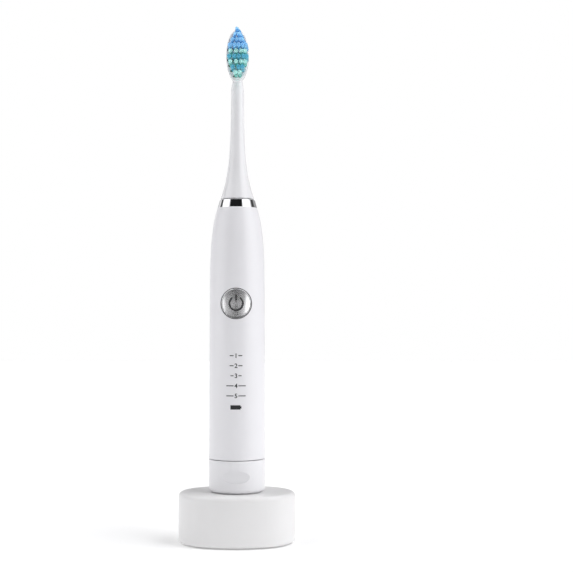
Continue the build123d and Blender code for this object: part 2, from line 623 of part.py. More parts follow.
# ---- board and lamps ----
MODE_LEVELS = [BUTTON_Z - FIRST_MODE_DROP - MODE_PITCH * i for i in range(MODE_COUNT)]
GAUGE_Z = BUTTON_Z - GAUGE_DROP
LAMP_LOW_Z = GAUGE_Z - BOARD_PAST_WINDOW
LAMP_HIGH_Z = MODE_LEVELS[0] + BOARD_PAST_WINDOW
BOARD_LOW_Z = FRAME_Z + BOARD_ABOVE_FRAME
BOARD_HIGH_Z = BUTTON_Z + SWITCH_SIZE / 2 + BOARD_PAST_WINDOW


def main_board():
    """Control board in front of the frame's spine."""
    half = BOARD_HALF_WIDTH
    board = block(-half, half, BOARD_FRONT, BOARD_BACK, BOARD_LOW_Z, BOARD_HIGH_Z)
    return fillet(board.edges().filter_by(Axis.Y), BOARD_CORNER)


def board_chips():
    """Controller, charge chip and two passives on the board's face."""
    front = BOARD_FRONT
    z = (LAMP_HIGH_Z + BUTTON_Z) / 2
    low = (BOARD_LOW_Z + LAMP_LOW_Z) / 2
    sizes = [  # half width, thickness, half height, place across, level
        (2.6, 1.2, 2.6, 0, z),
        (2.0, 1.1, 1.5, 0, low),
        (0.8, 0.8, 0.6, -4.6, low),
        (0.8, 0.8, 0.6, 4.6, low),
    ]
    chips = [block(x - w, x + w, front - t, front, level - h, level + h) for w, t, h, x, level in sizes]
    return Compound(children=chips)


def mode_lamps():
    """Small lamps behind the mode marks and the charge gauge."""
    half_x, half_z, front = LAMP_WIDTH / 2, LAMP_HEIGHT / 2, BOARD_FRONT - LAMP_THICKNESS
    levels = [*MODE_LEVELS, GAUGE_Z]
    lamps = [block(-half_x, half_x, front, BOARD_FRONT, z - half_z, z + half_z) for z in levels]
    return Compound(children=lamps)


def lamp_shroud():
    """Block of light wells, one well to each lamp."""
    front = -(WAIST_RADIUS - WINDOW_THICKNESS - 2 * GLUE_FIT)
    back = BOARD_FRONT - GLUE_FIT
    low, high = LAMP_LOW_Z + 2 * GLUE_FIT, LAMP_HIGH_Z - 2 * GLUE_FIT
    shroud = block(-SHROUD_HALF_WIDTH, SHROUD_HALF_WIDTH, front, back, low, high)
    half_x, half_z = WELL_HALF_WIDTH, WELL_HALF_HEIGHT
    for z in [*MODE_LEVELS, GAUGE_Z]:
        shroud -= block(-half_x, half_x, front - PAST, back + PAST, z - half_z, z + half_z)
    return shroud


# ---- frame and battery ----
LEAD_X = BATTERY_RADIUS - 1.0
LEAD_Y = SPINE_BACK + WIRE_BEND + 0.6
LOW_LEAD_Z = BATTERY_Z + 6.0
HIGH_LEAD_Z = BATTERY_TOP_Z + TAB_THICKNESS + WIRE_BEND + 0.35


def frame_disc(low, high):
    """Slice of the frame's round section behind the spine's face."""
    disc = rod(FRAME_RADIUS, low, high)
    return disc & block(-FRAME_RADIUS, FRAME_RADIUS, SPINE_FRONT, FRAME_RADIUS, low, high)


def inner_frame():
    """Moulded carrier: spine, battery ends, torsion-bar anchor and motor seat."""
    spine_half = math.sqrt(FRAME_RADIUS**2 - SPINE_FRONT**2) - GLUE_FIT
    seat_z = MOTOR_Z - MOTOR_SEAT
    seat_bore = TORSION_BAR_RADIUS * 4
    frame = block(-spine_half, spine_half, SPINE_FRONT, SPINE_BACK, FRAME_Z, seat_z + MOTOR_SEAT / 2)
    frame += frame_disc(FRAME_Z, FRAME_Z + FRAME_END)
    frame += frame_disc(ANCHOR_BLOCK_Z - FRAME_END, ANCHOR_BLOCK_Z)
    frame += frame_disc(seat_z, MOTOR_Z - GLUE_FIT) - rod(seat_bore, seat_z - PAST, MOTOR_Z + PAST)
    half = ANCHOR_HALF_WIDTH
    anchor_top = TORSION_Z + ANCHOR_GRIP
    anchor = block(-half, half, SPINE_BACK - 0.5, half, ANCHOR_BLOCK_Z - 0.5, anchor_top)
    frame += anchor - rod(TORSION_BAR_RADIUS + RUN_FIT, TORSION_Z - GLUE_FIT, anchor_top + PAST)
    post_in = 2 * POST_RADIUS
    for z in (BOARD_LOW_Z + post_in, BOARD_HIGH_Z - post_in):
        for side in (-1, 1):
            x = side * (BOARD_HALF_WIDTH - post_in)
            frame += rod_y(POST_RADIUS, BOARD_BACK, SPINE_FRONT + GLUE_FIT, x, z)
    for side, z in ((1, LOW_LEAD_Z), (-1, HIGH_LEAD_Z)):
        frame -= rod_y(WIRE_RADIUS + 0.4, SPINE_FRONT - PAST, SPINE_BACK + PAST, side * LEAD_X, z)
    for x in MOTOR_SCREW_X:
        frame -= rod(SCREW_RADIUS + SLIDE_FIT, seat_z - PAST, MOTOR_Z, x)
    return frame


def battery_cell():
    """Round cell behind the spine, with its raised positive button."""
    shoulder = BATTERY_TOP_Z - CELL_SHOULDER
    cell = rod(BATTERY_RADIUS, BATTERY_Z, shoulder, 0, BATTERY_Y)
    cell = fillet(cell.edges().filter_by(GeomType.CIRCLE), CELL_ROUND)
    return cell + rod(BATTERY_RADIUS * 0.4, shoulder - GLUE_FIT, BATTERY_TOP_Z, 0, BATTERY_Y)


def battery_tabs():
    """Nickel strips under and over the cell, reaching to the leads."""
    low, high = BATTERY_Z - RUN_FIT, BATTERY_TOP_Z + RUN_FIT
    near, far = LEAD_Y - 2 * WIRE_RADIUS, BATTERY_Y + TAB_REACH
    side = LEAD_X + 2 * WIRE_RADIUS
    foot = block(-TAB_HALF_WIDTH, side, near, far, low - TAB_THICKNESS, low)
    head = block(-side, TAB_HALF_WIDTH, near, far, high, high + TAB_THICKNESS)
    return Compound(children=[foot, head])


def battery_leads():
    """Two leads from the cell's strips through the spine to the board's back."""
    end = BOARD_BACK
    low = [(LEAD_X, LEAD_Y, BATTERY_Z - RUN_FIT), (LEAD_X, LEAD_Y, LOW_LEAD_Z), (LEAD_X, end, LOW_LEAD_Z)]
    tab_top = BATTERY_TOP_Z + RUN_FIT + TAB_THICKNESS
    high = [(-LEAD_X, LEAD_Y, tab_top), (-LEAD_X, LEAD_Y, HIGH_LEAD_Z), (-LEAD_X, end, HIGH_LEAD_Z)]
    return Compound(children=[wire(low, WIRE_BEND), wire(high, WIRE_BEND)])


# ---- pickup coil ----
PICKUP_LOW_Z = CAP_Z + CAP_FLOOR
PICKUP_TOP_Z = PEG_TOP_Z + PEG_HEADROOM + POCKET_TUBE_WALL - 0.2
PICKUP_FLANGE_RADIUS = HANDLE_RADIUS - HANDLE_WALL - SPIGOT_CLEARANCE - SPIGOT_WALL - 0.25


def pickup_bobbin():
    """Spool round the cap's peg pocket."""
    bore = POCKET_TUBE_RADIUS + SLIDE_FIT
    spool = tube(bore + SPOOL_WALL, bore, PICKUP_LOW_Z, PICKUP_TOP_Z)
    spool += tube(PICKUP_FLANGE_RADIUS, bore, PICKUP_LOW_Z, PICKUP_LOW_Z + SPOOL_FLANGE)
    return spool + tube(PICKUP_FLANGE_RADIUS, bore, PICKUP_TOP_Z - SPOOL_FLANGE, PICKUP_TOP_Z)


def pickup_coil():
    """Charging winding between the spool's flanges."""
    bore = POCKET_TUBE_RADIUS + SLIDE_FIT + SPOOL_WALL + RUN_FIT
    inset = SPOOL_FLANGE + RUN_FIT
    outer = PICKUP_FLANGE_RADIUS - FLANGE_OVER_COIL
    return tube(outer, bore, PICKUP_LOW_Z + inset, PICKUP_TOP_Z - inset)


def coil_leads():
    """Two leads from the pickup spool up to the board's foot."""
    depth = (BOARD_FRONT + BOARD_BACK) / 2
    start_z, end_z = PICKUP_TOP_Z, BOARD_LOW_Z
    rise = (end_z - start_z) / 3
    leads = []
    for side in (-1, 1):
        x = side * COIL_LEAD_X
        foot = -(PICKUP_FLANGE_RADIUS - 1.2)
        points = [(x, foot, start_z), (x, foot, start_z + rise), (x, depth, end_z - rise), (x, depth, end_z)]
        leads.append(wire(points, 2 * WIRE_BEND))
    return Compound(children=leads)


# ---- motor ----
MOTOR_RADIUS = NECK_RADIUS + SHOULDER_SLOPE * MOTOR_DROP * 0.72 - HANDLE_WALL - 0.6  # inside the shoulder
STATOR_RADIUS = MOTOR_RADIUS - MOTOR_WALL - RUN_FIT
ROTOR_RADIUS = SHAFT_RADIUS + SLEEVE_WALL
MAGNET_RADIUS = ROTOR_RADIUS + MAGNET_THICKNESS
TOOTH_RADIUS = MAGNET_RADIUS + SWING_GAP
STACK_LOW_Z = MOTOR_Z + 7.5
STACK_HIGH_Z = MOTOR_TOP_Z - 7.0
MOTOR_SCREW_X = (-5.6, 5.6)
PLATE_THICKNESS = 2.4


def motor_can():
    """Drawn steel can with the front bush's seat."""
    can = rod(MOTOR_RADIUS, MOTOR_Z, MOTOR_TOP_Z)
    can = fillet(level_edges(can, MOTOR_TOP_Z), MOTOR_WALL * 0.9)
    can -= rod(MOTOR_RADIUS - MOTOR_WALL, MOTOR_Z - PAST, MOTOR_TOP_Z - MOTOR_WALL)
    return can - rod(SHAFT_RADIUS + BUSH_WALL + RUN_FIT, MOTOR_Z, MOTOR_TOP_Z + PAST)


def motor_end_plate():
    """Rear plate with the rear bush's seat and two tapped holes."""
    top = MOTOR_Z + PLATE_THICKNESS
    plate = rod(STATOR_RADIUS, MOTOR_Z, top)
    plate -= rod(SHAFT_RADIUS + BUSH_WALL + RUN_FIT, MOTOR_Z - PAST, top + PAST)
    for x in MOTOR_SCREW_X:
        plate -= rod(SCREW_RADIUS + RUN_FIT, MOTOR_Z - PAST, top + PAST, x)
    return plate


def motor_screws():
    """Two screws that hold the motor to the frame's seat."""
    head_low = MOTOR_Z - MOTOR_SEAT - SCREW_HEAD_HEIGHT
    return Compound(children=[screw(x, 0, head_low, MOTOR_SEAT + PLATE_THICKNESS) for x in MOTOR_SCREW_X])


def motor_bumper():
    """Rubber ring between the can's nose and the housing's top wall."""
    return tube(COLLAR_BORE + 2.4, COLLAR_BORE - 1.2, MOTOR_TOP_Z, CEILING_Z)


def front_bearing():
    """Bronze bush in the can's nose."""
    low = MOTOR_TOP_Z - MOTOR_WALL - BUSH_LENGTH
    outer, bore = SHAFT_RADIUS + BUSH_WALL, SHAFT_RADIUS + RUN_FIT
    bush = tube(outer, bore, low, MOTOR_TOP_Z + 0.4)
    return bush + tube(outer + BUSH_FLANGE, bore, low, MOTOR_TOP_Z - MOTOR_WALL)


def rear_bearing():
    """Bronze bush in the end plate."""
    top = MOTOR_Z + PLATE_THICKNESS + BUSH_LENGTH / 2
    return tube(SHAFT_RADIUS + BUSH_WALL, SHAFT_RADIUS + RUN_FIT, MOTOR_Z, top)


def stator_core():
    """Laminated ring with inward teeth."""
    half = TOOTH_WIDTH / 2
    core = tube(STATOR_RADIUS, STATOR_RADIUS - STATOR_WALL, STACK_LOW_Z, STACK_HIGH_Z)
    tooth = block(TOOTH_RADIUS, STATOR_RADIUS - STATOR_WALL / 2, -half, half, STACK_LOW_Z, STACK_HIGH_Z)
    for i in range(POLES):
        core += Rot(0, 0, 45 + i * 360 / POLES) * tooth
    return core


def stator_coils():
    """One winding round each tooth."""
    half, slot = COIL_WIDTH / 2, TOOTH_WIDTH / 2 + RUN_FIT
    inner = TOOTH_RADIUS + 0.3
    outer = math.sqrt((STATOR_RADIUS - STATOR_WALL - GLUE_FIT) ** 2 - half**2)
    coil = block(inner, outer, -half, half, STACK_LOW_Z - COIL_OVERHANG, STACK_HIGH_Z + COIL_OVERHANG)
    coil = fillet(coil.edges().filter_by(Axis.X), COIL_ROUND)
    coil -= block(inner - PAST, outer + PAST, -slot, slot, STACK_LOW_Z - RUN_FIT, STACK_HIGH_Z + RUN_FIT)
    return Compound(children=[Rot(0, 0, 45 + i * 360 / POLES) * coil for i in range(POLES)])


def rotor_core():
    """Steel sleeve pressed on the shaft."""
    return tube(ROTOR_RADIUS, SHAFT_RADIUS, STACK_LOW_Z, STACK_HIGH_Z)


def rotor_magnets():
    """Four magnet segments round the sleeve."""
    ring = tube(MAGNET_RADIUS, ROTOR_RADIUS, STACK_LOW_Z + 2 * SLIDE_FIT, STACK_HIGH_Z - 2 * SLIDE_FIT)
    reach, half = MAGNET_RADIUS + PAST, MAGNET_GAP / 2
    for turn in (0, 90):
        ring -= Rot(0, 0, turn) * block(-reach, reach, -half, half, MOTOR_Z, MOTOR_TOP_Z)
    return ring


def drive_shaft():
    """Steel shaft from the rear bush to the brush head, with a drive flat and a snap groove."""
    top = HEAD_Z + SHAFT_REACH
    wide = SHAFT_RADIUS + PAST
    shaft = rod(SHAFT_RADIUS, SHAFT_LOW_Z, top)
    shaft = fillet(level_edges(shaft, top), SHAFT_RADIUS / 4)
    shaft -= block(-wide, wide, SHAFT_RADIUS * SHAFT_FLAT, wide, top - SHAFT_FLAT_LENGTH, top + PAST)
    return shaft - tube(wide, SHAFT_RADIUS - GROOVE_DEPTH, GROOVE_Z, GROOVE_Z + GROOVE_WIDTH)


def torsion_bar():
    """Spring bar between the frame's anchor and the shaft's rear end."""
    return rod(TORSION_BAR_RADIUS, TORSION_Z, SHAFT_LOW_Z)


# ---- brush head ----
SOCKET_RADIUS = SHAFT_RADIUS + RUN_FIT + SOCKET_WALL
SOCKET_TOP_Z = HEAD_Z + SHAFT_REACH + SOCKET_END
MOUTH_TOP_Z = HEAD_Z + MOUTH_DEPTH
TUFT_ROWS = [  # (node, columns in row) from the stem end to the tip
    ("mint", (-1.3, 1.3)),
    ("blue", (-2.7, 0, 2.7)),
    ("mint", (-3.75, -1.3, 1.3, 3.75)),
    ("blue", (-4.4, -2.25, 0, 2.25, 4.4)),
    ("mint", (-3.75, -1.3, 1.3, 3.75)),
    ("tip", (-4.3, -2.25, 0, 2.25, 4.3)),
    ("tip", (-3.4, -1.15, 1.15, 3.4)),
    ("tip", (-2.3, 0, 2.3)),
    ("tip", (-0.95, 0.95)),
]
FIRST_ROW_Z = PLATE_Z - 10.2


def tufts(kind):
    """(x, z) of each tuft of one colour."""
    found = []
    for row, (node, columns) in enumerate(TUFT_ROWS):
        found += [(x, FIRST_ROW_Z + row * TUFT_PITCH) for x in columns if node == kind]
    return found


def stem_form():
    """Flared foot and slim stem, turned from one curve, with a coned end inside the plate."""
    foot = (HEAD_FOOT_RADIUS, 0, HEAD_Z)
    top = (STEM_TOP_RADIUS, 0, STEM_TOP_Z)
    cone = (STEM_TOP_RADIUS / 2, 0, STEM_TOP_Z + PLATE_HALF_LENGTH * 0.75)
    outline = [
        Line((0, 0, HEAD_Z), foot),
        Bezier(
            foot,
            (HEAD_FOOT_RADIUS - 4.6, 0, HEAD_Z + STEM_LENGTH * 0.23),
            (STEM_TOP_RADIUS + 0.1, 0, HEAD_Z + STEM_LENGTH * 0.46),
            top,
        ),
        Line(top, cone),
        Line(cone, (0, 0, cone[2])),
        Line((0, 0, cone[2]), (0, 0, HEAD_Z)),
    ]
    return revolve(make_face(outline), Axis.Z)


def brush_head_shell():
    """Stem and head in one moulding, bored for the socket and the tufts."""
    plan = Rot(90, 0, 0) * Ellipse(PLATE_HALF_WIDTH, PLATE_HALF_LENGTH)
    plate = Pos(0, PLATE_BACK, PLATE_Z) * extrude(plan, PLATE_FRONT + PLATE_BACK, dir=(0, -1, 0))
    plate = fillet(plate.faces().sort_by(Axis.Y)[-1].edges(), PLATE_BACK * 0.85)
    plate = fillet(plate.faces().sort_by(Axis.Y)[0].edges(), PLATE_FACE_ROUND)
    stem = stem_form()
    wide, reach = HEAD_FOOT_RADIUS, PLATE_HALF_LENGTH * 2
    stem -= block(-wide, wide, -wide, -PLATE_FRONT, STEM_TOP_Z + PAST, STEM_TOP_Z + reach)
    shell = fillet(level_edges(stem, HEAD_Z), HEAD_FOOT_ROUND) + plate
    mouth = HEAD_FOOT_RADIUS - HEAD_FOOT_WALL
    shell -= turned([
        (0, HEAD_Z - PAST), (mouth, HEAD_Z - PAST), (mouth, HEAD_Z + HEAD_FOOT_WALL / 2),
        (SOCKET_RADIUS + RUN_FIT, MOUTH_TOP_Z), (0, MOUTH_TOP_Z),
    ])
    shell -= rod(SOCKET_RADIUS + RUN_FIT, HEAD_Z, SOCKET_TOP_Z + GLUE_FIT)
    for kind in ("mint", "blue", "tip"):
        for x, z in tufts(kind):
            shell -= rod_y(TUFT_RADIUS, -PLATE_FRONT - PAST, -PLATE_FRONT + TUFT_HOLE, x, z)
    return shell


def bristles(kind, length):
    """Every tuft of one colour, each a round-ended rod in its own hole."""
    tip = -PLATE_FRONT - length
    root = -PLATE_FRONT + TUFT_HOLE - ANCHOR_THICKNESS
    made = []
    for x, z in tufts(kind):
        tuft = rod_y(TUFT_RADIUS, tip, root, x, z)
        made.append(fillet(tuft.edges().sort_by(Axis.Y)[0], TUFT_RADIUS * 0.6))
    return Compound(children=made)


def tuft_anchors():
    """Flat wire staple at the foot of each tuft's hole."""
    back = -PLATE_FRONT + TUFT_HOLE
    front = back - ANCHOR_THICKNESS
    half, rise = TUFT_RADIUS * 0.8, ANCHOR_THICKNESS
    places = [place for kind in ("mint", "blue", "tip") for place in tufts(kind)]
    staples = [block(x - half, x + half, front, back, z - rise, z + rise) for x, z in places]
    return Compound(children=staples)


def socket_insert():
    """Hard sleeve in the head that grips the shaft, slotted where the clip squeezes it."""
    bore, wide = SHAFT_RADIUS + RUN_FIT, SOCKET_RADIUS + PAST
    low = HEAD_Z + SOCKET_LIFT
    sleeve = rod(SOCKET_RADIUS, low, SOCKET_TOP_Z)
    sleeve += rod(SOCKET_RADIUS + SOCKET_FLANGE, low, low + SOCKET_FLANGE_HEIGHT)
    sleeve -= rod(bore, low - PAST, HEAD_Z + SHAFT_REACH + 2 * SLIDE_FIT)
    key_low = HEAD_Z + SHAFT_REACH - SHAFT_FLAT_LENGTH + SLIDE_FIT
    key = block(-bore, bore, SHAFT_RADIUS * SHAFT_FLAT + RUN_FIT, SOCKET_RADIUS, key_low, SOCKET_TOP_Z)
    sleeve += key & rod(SOCKET_RADIUS, key_low, SOCKET_TOP_Z)
    half = SOCKET_SLOT / 2
    return sleeve - block(-wide, wide, -half, half, low + 2 * SOCKET_LIFT, MOUTH_TOP_Z)


def retaining_clip():
    """Open spring ring round the slotted part of the sleeve."""
    low = GROOVE_Z + GROOVE_WIDTH / 2 - CLIP_HEIGHT * 0.7
    high = low + CLIP_HEIGHT
    inner, half = SOCKET_RADIUS + CLIP_FIT, CLIP_OPENING / 2
    ring = tube(inner + CLIP_THICKNESS, inner, low, high)
    return ring - block(-half, half, 0, inner + CLIP_THICKNESS + PAST, low - PAST, high + PAST)


PIECES = {
    "base_shell": base_shell,
    "base_cover": base_cover,
    "rubber_feet": rubber_feet,
    "base_screws": base_screws,
    "base_board": base_board,
    "base_board_parts": base_board_parts,
    "primary_bobbin": primary_bobbin,
    "primary_coil": primary_coil,
    "ferrite_core": ferrite_core,
    "cord_gland": cord_gland,
    "handle_housing": handle_housing,
    "bottom_cap": bottom_cap,
    "cap_oring": cap_oring,
    "collar_ring": collar_ring,
    "shaft_seal": shaft_seal,
    "button_bezel": button_bezel,
    "power_button": power_button,
    "button_membrane": button_membrane,
    "tact_switch": tact_switch,
    "switch_plunger": switch_plunger,
    "main_board": main_board,
    "board_chips": board_chips,
    "mode_lamps": mode_lamps,
    "lamp_shroud": lamp_shroud,
    "inner_frame": inner_frame,
    "battery_cell": battery_cell,
    "battery_tabs": battery_tabs,
    "battery_leads": battery_leads,
    "pickup_bobbin": pickup_bobbin,
    "pickup_coil": pickup_coil,
    "coil_leads": coil_leads,
    "motor_can": motor_can,
    "motor_end_plate": motor_end_plate,
    "motor_screws": motor_screws,
    "motor_bumper": motor_bumper,
    "front_bearing": front_bearing,
    "rear_bearing": rear_bearing,
    "stator_core": stator_core,
    "stator_coils": stator_coils,
    "rotor_core": rotor_core,
    "rotor_magnets": rotor_magnets,
    "drive_shaft": drive_shaft,
    "torsion_bar": torsion_bar,
    "brush_head_shell": brush_head_shell,
    "bristles_mint": lambda: bristles("mint", TUFT_LENGTH),
    "bristles_blue": lambda: bristles("blue", TUFT_LENGTH),
    "bristles_tip": lambda: bristles("tip", TIP_TUFT_LENGTH),
    "tuft_anchors": tuft_anchors,
    "socket_insert": socket_insert,
    "retaining_clip": retaining_clip,
}

os.makedirs("parts", exist_ok=True)
for name, make in PIECES.items():
    export_step(make(), f"parts/{name}.step")
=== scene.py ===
import json
import math

import bpy
import numpy as np
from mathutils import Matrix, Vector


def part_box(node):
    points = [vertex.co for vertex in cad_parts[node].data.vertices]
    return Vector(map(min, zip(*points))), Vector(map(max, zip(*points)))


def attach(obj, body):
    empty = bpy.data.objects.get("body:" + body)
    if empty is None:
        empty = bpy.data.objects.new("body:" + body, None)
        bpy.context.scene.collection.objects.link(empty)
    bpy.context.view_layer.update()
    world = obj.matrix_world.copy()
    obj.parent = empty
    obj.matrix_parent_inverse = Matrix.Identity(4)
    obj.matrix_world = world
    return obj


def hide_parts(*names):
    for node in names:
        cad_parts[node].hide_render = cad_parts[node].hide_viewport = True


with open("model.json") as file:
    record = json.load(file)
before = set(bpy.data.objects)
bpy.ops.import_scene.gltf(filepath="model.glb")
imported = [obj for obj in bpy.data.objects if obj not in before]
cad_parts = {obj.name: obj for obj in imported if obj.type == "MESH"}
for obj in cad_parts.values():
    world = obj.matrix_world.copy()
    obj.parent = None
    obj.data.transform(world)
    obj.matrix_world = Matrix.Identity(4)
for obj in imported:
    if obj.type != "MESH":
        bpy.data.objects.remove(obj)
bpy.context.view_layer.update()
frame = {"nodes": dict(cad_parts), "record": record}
nodes = frame["nodes"]
mm = 0.001


# places that the CAD gives; all sizes below are in millimetres

bezelLow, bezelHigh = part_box("button_bezel")
buttonZ = (bezelLow[2] / mm + bezelHigh[2] / mm) / 2

handle = {"seamRadius": 14.0, "waistRadius": 13.65, "seamZ": 41.5, "waistZ": 128.0}


def skinRadius(z):
    # straight taper from the seam up to the start of the shoulder
    t = (z - handle["seamZ"]) / (handle["waistZ"] - handle["seamZ"])
    return handle["seamRadius"] + (handle["waistRadius"] - handle["seamRadius"]) * t


def wrapOnHandle(points, lift):
    # flat x becomes arc length round the handle, z stays, and lift is the height off the skin
    radius = skinRadius(points[..., 1])
    angle = points[..., 0] / radius
    reach = radius + lift
    return np.stack([reach * np.sin(angle), -reach * np.cos(angle), points[..., 1]], -1)


# camera

camera = {
    "x": 24.65,
    "back": 592.0,
    "z": 107.3,
    "lens": 74.33,
    "sensor": 36.0,
    "tilt": 1.91,  # degrees above level
    "near": 10.0,
    "far": 20000.0,
}


def makeCamera():
    data = bpy.data.cameras.new("camera")
    data.lens, data.sensor_width = camera["lens"], camera["sensor"]
    data.clip_start, data.clip_end = camera["near"] * mm, camera["far"] * mm
    eye = bpy.data.objects.new("camera", data)
    eye.location = (camera["x"] * mm, -camera["back"] * mm, camera["z"] * mm)
    eye.rotation_euler = (math.radians(90 + camera["tilt"]), 0, 0)
    bpy.context.scene.collection.objects.link(eye)
    bpy.context.scene.camera = eye


makeCamera()
print("camera set")


# studio: a white floor in a white room whose walls are brighter to the sides and dark to the front

studio = {
    "walls": [  # azimuth from the front in degrees, to the right, and the wall's level there
        (-180, 0.6), (-128, 1.4), (-122, 0.1), (-108, 0.1), (-98, 2.4), (-62, 2.4), (-50, 1.4), (-46, 0.02),
        (32, 0.02), (38, 1.5), (46, 3.7), (72, 3.3), (98, 1.3), (104, 0.1), (122, 0.1), (132, 0.6),
    ],
    "highLights": [  # the same for the lights above the walls
        (-180, 0.3), (-140, 0.5), (-120, 4.2), (-60, 4.2), (-40, 0.4),
        (36, 0.4), (50, 7.0), (110, 7.0), (140, 0.5),
    ],
    "highStart": 0.68,  # sine of the elevation where the walls give way to the high lights
    "highFull": 0.74,
    "highEnd": 0.94,  # and where these give way to the dim top
    "endBlend": 0.01,
    "top": 0.15,
    "coolness": 1.01,  # how much more blue than red there is in the light
    "strength": 0.64,
    "floorSide": 3000.0,
    "floorWhite": 0.93,
    "floorRoughness": 0.9,
    "floorGlow": 0.16,
}


def wire(tree, *pairs):
    for start, end in pairs:
        tree.links.new(start, end)


def mathNode(tree, operation, first, second=None, third=None):
    node = tree.nodes.new("ShaderNodeMath")
    node.operation = operation
    for socket, value in zip(node.inputs, (first, second, third)):
        if isinstance(value, bpy.types.NodeSocket):
            tree.links.new(value, socket)
        elif value is not None:
            socket.default_value = value
    return node.outputs[0]


def makeRoom():
    # the light from a direction depends on its azimuth, by the walls' or the high lights' levels, and on the
    # sine of its elevation, which picks walls, high lights or top; the camera itself sees plain white
    world = bpy.data.worlds.new("room")
    bpy.context.scene.world = world
    world.use_nodes = True
    tree = world.node_tree
    tree.nodes.clear()
    new = tree.nodes.new
    where, split = new("ShaderNodeTexCoord"), new("ShaderNodeSeparateXYZ")
    walls, high = new("ShaderNodeValToRGB"), new("ShaderNodeValToRGB")
    wire(tree, (where.outputs["Generated"], split.inputs[0]))
    ahead = mathNode(tree, "MULTIPLY", split.outputs["Y"], -1.0)
    azimuth = mathNode(tree, "ARCTAN2", split.outputs["X"], ahead)
    share = mathNode(tree, "MULTIPLY_ADD", azimuth, 0.5 / math.pi, 0.5)
    for bands, levels in ((walls, studio["walls"]), (high, studio["highLights"])):
        wire(tree, (share, bands.inputs[0]))
        stops = bands.color_ramp.elements
        while len(stops) < len(levels):
            stops.new(0.5)
        for stop, (degrees, level) in zip(stops, levels):
            stop.position = (degrees + 180) / 360
            stop.color = (level, level, level * studio["coolness"], 1)
    rise, end = new("ShaderNodeMapRange"), new("ShaderNodeMapRange")
    rise.inputs["From Min"].default_value = studio["highStart"]
    rise.inputs["From Max"].default_value = studio["highFull"]
    end.inputs["From Min"].default_value = studio["highEnd"] - studio["endBlend"]
    end.inputs["From Max"].default_value = studio["highEnd"]
    ceiling, upper = new("ShaderNodeMix"), new("ShaderNodeMix")
    ceiling.data_type = upper.data_type = "RGBA"
    upper.inputs["B"].default_value = (studio["top"],) * 3 + (1,)
    room, backdrop = new("ShaderNodeBackground"), new("ShaderNodeBackground")
    room.inputs["Strength"].default_value = studio["strength"]
    backdrop.inputs["Color"].default_value = (1, 1, 1, 1)
    ray, shown, out = new("ShaderNodeLightPath"), new("ShaderNodeMixShader"), new("ShaderNodeOutputWorld")
    wire(
        tree,
        (split.outputs["Z"], rise.inputs["Value"]),
        (rise.outputs[0], ceiling.inputs["Factor"]),
        (walls.outputs[0], ceiling.inputs["A"]),
        (split.outputs["Z"], end.inputs["Value"]),
        (end.outputs[0], upper.inputs["Factor"]),
        (high.outputs[0], upper.inputs["A"]),
        (upper.outputs["Result"], ceiling.inputs["B"]),
        (ceiling.outputs["Result"], room.inputs["Color"]),
        (ray.outputs["Is Camera Ray"], shown.inputs[0]),
        (room.outputs[0], shown.inputs[1]),
        (backdrop.outputs[0], shown.inputs[2]),
        (shown.outputs[0], out.inputs["Surface"]),
    )


def makeFloor():
    side = studio["floorSide"] * mm
    corners = [(x * side, y * side, 0) for x, y in ((-1, -1), (1, -1), (1, 1), (-1, 1))]
    mesh = bpy.data.meshes.new("floor")
    mesh.from_pydata(corners, [], [(0, 1, 2, 3)])
    floor = bpy.data.objects.new("floor", mesh)
    bpy.context.scene.collection.objects.link(floor)
    paper = bpy.data.materials.new("palePaper")
    paper.use_nodes = True
    shader = paper.node_tree.nodes["Principled BSDF"]
    shader.inputs["Base Color"].default_value = (studio["floorWhite"],) * 3 + (1,)
    shader.inputs["Roughness"].default_value = studio["floorRoughness"]
    shader.inputs["Emission Color"].default_value = (1, 1, 1, 1)
    shader.inputs["Emission Strength"].default_value = studio["floorGlow"]
    mesh.materials.append(paper)


makeRoom()
makeFloor()
bpy.context.scene.view_settings.view_transform = "Standard"
print("studio set")


# finishes

def newFinish(name, colour, roughness, metallic=0.0, **sockets):
    material = bpy.data.materials.new(name)
    material.use_nodes = True
    shader = material.node_tree.nodes["Principled BSDF"]
    shader.inputs["Base Color"].default_value = (*colour, 1)
    shader.inputs["Roughness"].default_value = roughness
    shader.inputs["Metallic"].default_value = metallic
    for socket, value in sockets.items():
        shader.inputs[socket].default_value = value
    return material, material.node_tree, shader


def objectPlace(tree):
    where, split = tree.nodes.new("ShaderNodeTexCoord"), tree.nodes.new("ShaderNodeSeparateXYZ")
    wire(tree, (where.outputs["Object"], split.inputs[0]))
    return where.outputs["Object"], split.outputs


def spots(tree, size, detail=2.0, roughness=0.5, stretch=(1, 1, 1), place=None):
    # noise over the piece's own place, or a place given, with features about size millimetres across
    place = place or objectPlace(tree)[0]
    turn, noise = tree.nodes.new("ShaderNodeMapping"), tree.nodes.new("ShaderNodeTexNoise")
    turn.inputs["Scale"].default_value = stretch
    noise.inputs["Scale"].default_value = 1 / (size * mm)
    noise.inputs["Detail"].default_value = detail
    noise.inputs["Roughness"].default_value = roughness
    wire(tree, (place, turn.inputs[0]), (turn.outputs[0], noise.inputs["Vector"]))
    return noise.outputs["Fac"]


def shaded(colour, share):
    return tuple(min(1.0, c * share) for c in colour)


def spread(tree, value, low, high):
    # 0 to 1 becomes low to high
    between = tree.nodes.new("ShaderNodeMapRange")
    between.inputs["To Min"].default_value, between.inputs["To Max"].default_value = low, high
    tree.links.new(value, between.inputs["Value"])
    return between.outputs[0]


def tint(tree, value, dark, light):
    mix = tree.nodes.new("ShaderNodeMix")
    mix.data_type = "RGBA"
    mix.inputs["A"].default_value, mix.inputs["B"].default_value = (*dark, 1), (*light, 1)
    tree.links.new(value, mix.inputs["Factor"])
    return mix.outputs["Result"]


